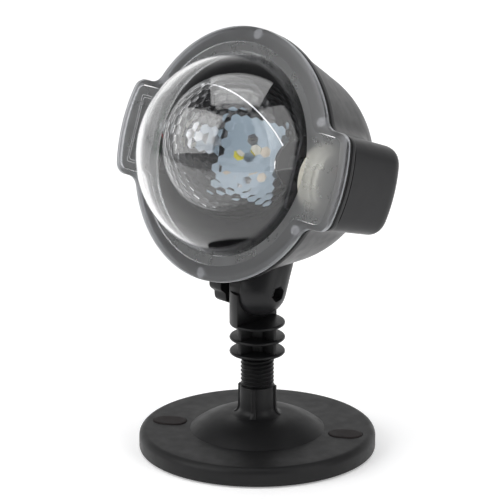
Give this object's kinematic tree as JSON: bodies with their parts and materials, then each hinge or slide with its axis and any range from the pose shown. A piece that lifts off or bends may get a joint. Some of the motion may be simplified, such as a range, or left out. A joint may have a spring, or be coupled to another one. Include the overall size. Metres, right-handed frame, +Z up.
{
  "type": "light projector",
  "caption": "Round-based tabletop light projector: a clear dome and slowly turning lens ball in a tilting head on a finned stem.",
  "frame": {"origin": "middle of the foot pad's underside, on the stem's axis", "axes": "+Z up the stem; the dome looks towards -Y and up; +X is the motor's side and the tilt knob is on -X"},
  "size_m": [0.16, 0.1315, 0.229],
  "materials": {
    "stand_plastic": "fine moulded texture",
    "plug_plastic": "matte",
    "knob_plastic": "satin",
    "housing_plastic": "satin moulded",
    "clear_plastic": "clear, polished dome and frosted flange",
    "lens_plastic": "clear with small hexagonal facets inside",
    "hub_plastic": "moulded",
    "motor_plastic": "moulded",
    "component_black": "moulded",
    "circuit_board": "solder mask",
    "led_board": "white solder mask",
    "phosphor": "silicone over phosphor",
    "wire_red": "insulated wire",
    "wire_black": "insulated wire",
    "aluminium": "brushed",
    "steel": "zinc plated",
    "seal_rubber": "matte",
    "foot_foam": "closed-cell foam sheet"
  },
  "bodies": {
    "stand": {"base_shell": "stand_plastic", "base_ballast": "steel", "base_foot_pad": "foot_foam", "screw_hole_plug_1": "plug_plastic", "screw_hole_plug_2": "plug_plastic"},
    "stem": {"stem": "stand_plastic", "tilt_washer": "steel"},
    "knob": {"tilt_knob": "knob_plastic", "tilt_screw": "steel"},
    "head": {"front_cover": "clear_plastic", "cover_gasket": "seal_rubber", "rear_housing": "housing_plastic", "tilt_nut": "steel", "led_post": "aluminium", "ball_bush": "motor_plastic", "motor_bracket": "aluminium", "post_bracket": "aluminium", "bracket_screw_1": "steel", "bracket_screw_2": "steel", "bracket_screw_3": "steel", "bracket_screw_4": "steel", "motor_gearcase": "motor_plastic", "motor_end_cap": "steel", "motor_screw_1": "steel", "motor_screw_2": "steel", "led_board": "led_board", "led_chip_1": "phosphor", "led_chip_2": "phosphor", "led_chip_3": "phosphor", "led_chip_4": "phosphor", "led_board_screw_1": "steel", "led_board_screw_2": "steel", "heat_sink": "aluminium", "led_arm": "aluminium", "driver_board": "circuit_board", "driver_capacitor_1": "component_black", "driver_capacitor_2": "component_black", "driver_chip": "component_black", "driver_coil": "component_black", "motor_wire_red": "wire_red", "motor_wire_black": "wire_black", "led_wires": "wire_red", "cable_gland_body": "knob_plastic", "cable_gland_locknut": "knob_plastic", "cable_gland_cap": "knob_plastic", "cable_gland_seal": "seal_rubber"},
    "ball": {"ball_front_half": "lens_plastic", "ball_rear_half": "lens_plastic", "ball_drive_hub": "hub_plastic", "ball_bearing_hub": "hub_plastic", "motor_shaft": "steel"}
  },
  "joints": [
    {"name": "pan", "type": "hinge", "parent": "stand", "child": "stem", "pos_m": [0, 0, 0], "axis": [0, 0, 1], "range_deg": [-180, 180]},
    {"name": "tilt", "type": "hinge", "parent": "stem", "child": "head", "pos_m": [0, 0.0012, 0.0879], "axis": [-1, 0, 0], "range_deg": [-64, 70]},
    {"name": "knob_turn", "type": "hinge", "parent": "stem", "child": "knob", "pos_m": [0, 0.0012, 0.0879], "axis": [-1, 0, 0], "range_deg": [0, 450]},
    {"name": "ball_spin", "type": "hinge", "parent": "head", "child": "ball", "pos_m": [-0.002, -0.013, 0.16774], "axis": [1, 0, 0], "continuous": true}
  ]
}
